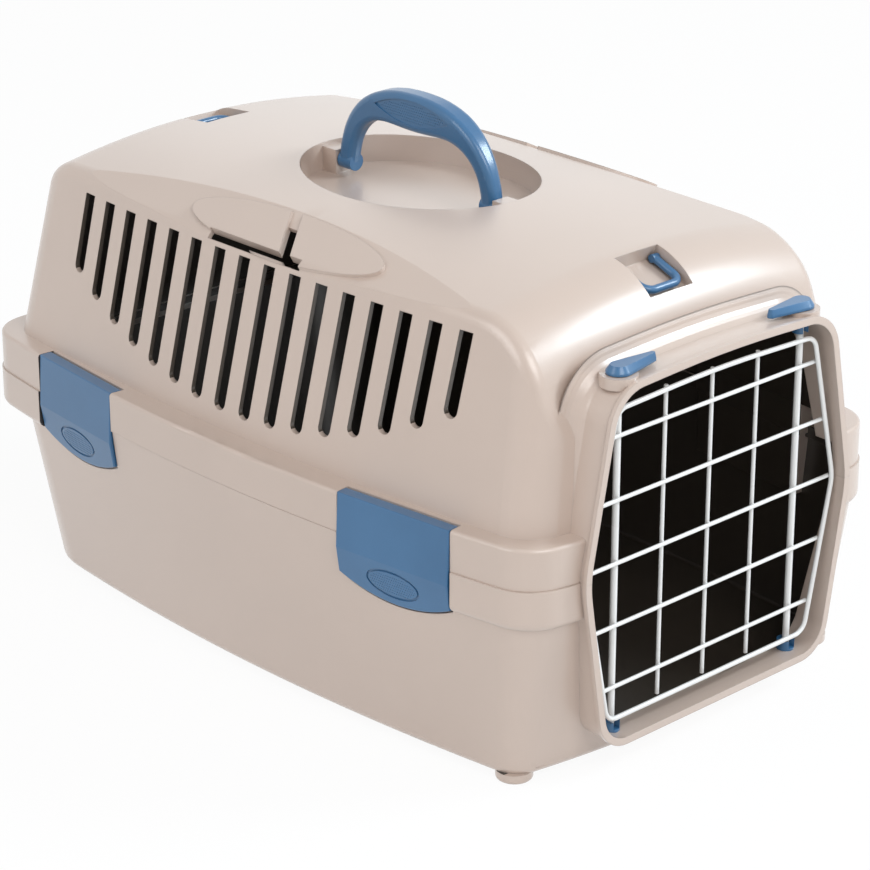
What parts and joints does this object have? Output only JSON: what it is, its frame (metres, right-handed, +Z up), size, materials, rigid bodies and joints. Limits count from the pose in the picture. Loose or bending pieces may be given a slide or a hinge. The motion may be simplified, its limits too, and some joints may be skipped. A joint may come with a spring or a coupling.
{
  "type": "pet carrier",
  "caption": "Two-shell plastic pet carrier with a slotted lid, a folding carrying handle, side clips, strap loops and a hinged wire door held by turning levers.",
  "frame": {"origin": "centre of the footprint of the whole carrier on the floor, at the underside of the feet", "axes": "+X to the right seen from the door, +Y from the door to the rear along the length, +Z up"},
  "size_m": [0.32, 0.49, 0.3185],
  "materials": {
    "shell": "fine satin grain",
    "fitting": "satin",
    "wire": "smooth white coating"
  },
  "bodies": {
    "body": {"lower_shell": "shell", "upper_shell": "shell", "rod_bush_left": "fitting", "rod_bush_right": "fitting"},
    "door": {"door_ring": "wire", "door_cross_wire_1": "wire", "door_cross_wire_2": "wire", "door_cross_wire_3": "wire", "door_cross_wire_4": "wire", "door_cross_wire_5": "wire", "door_upright_1": "wire", "door_upright_2": "wire", "door_upright_3": "wire", "door_rod_left": "wire", "door_rod_right": "wire"},
    "lever_left": {"door_lever_left": "fitting"},
    "lever_right": {"door_lever_right": "fitting"},
    "handle": {"carry_handle": "fitting"},
    "loop_front": {"strap_loop_front": "fitting"},
    "loop_rear": {"strap_loop_rear": "fitting"},
    "clip_left_front": {"clip_left_front": "fitting"},
    "clip_left_rear": {"clip_left_rear": "fitting"},
    "clip_right_front": {"clip_right_front": "fitting"},
    "clip_right_rear": {"clip_right_rear": "fitting"}
  },
  "joints": [
    {"name": "door_hinge", "type": "hinge", "parent": "body", "child": "door", "pos_m": [0.0732, -0.23235, 0.122], "axis": [0, 0, 1], "range_deg": [0, 105]},
    {"name": "lever_left_turn", "type": "hinge", "parent": "body", "child": "lever_left", "pos_m": [-0.0732, -0.23235, 0.23], "axis": [0, 0, 1], "range_deg": [-90, 0]},
    {"name": "lever_right_turn", "type": "hinge", "parent": "body", "child": "lever_right", "pos_m": [0.0732, -0.23235, 0.23], "axis": [0, 0, 1], "range_deg": [0, 90]},
    {"name": "handle_fold", "type": "hinge", "parent": "body", "child": "handle", "pos_m": [0, -0.002, 0.2645], "axis": [0, 1, 0], "range_deg": [-84, 84]},
    {"name": "loop_front_lift", "type": "hinge", "parent": "body", "child": "loop_front", "pos_m": [0, -0.17562, 0.2586], "axis": [1, 0, 0], "range_deg": [-90, 0]},
    {"name": "loop_rear_lift", "type": "hinge", "parent": "body", "child": "loop_rear", "pos_m": [0, 0.17162, 0.25742], "axis": [1, 0, 0], "range_deg": [-25, 65]},
    {"name": "clip_left_front_open", "type": "hinge", "parent": "body", "child": "clip_left_front", "pos_m": [-0.14496, -0.14119, 0.1435], "axis": [0.1038, -0.9946, 0], "range_deg": [-95, 0]},
    {"name": "clip_left_rear_open", "type": "hinge", "parent": "body", "child": "clip_left_rear", "pos_m": [-0.14496, 0.13719, 0.1435], "axis": [-0.1038, -0.9946, 0], "range_deg": [-95, 0]},
    {"name": "clip_right_front_open", "type": "hinge", "parent": "body", "child": "clip_right_front", "pos_m": [0.14496, -0.14119, 0.1435], "axis": [0.1038, 0.9946, 0], "range_deg": [-95, 0]},
    {"name": "clip_right_rear_open", "type": "hinge", "parent": "body", "child": "clip_right_rear", "pos_m": [0.14496, 0.13719, 0.1435], "axis": [-0.1038, 0.9946, 0], "range_deg": [-95, 0]}
  ]
}
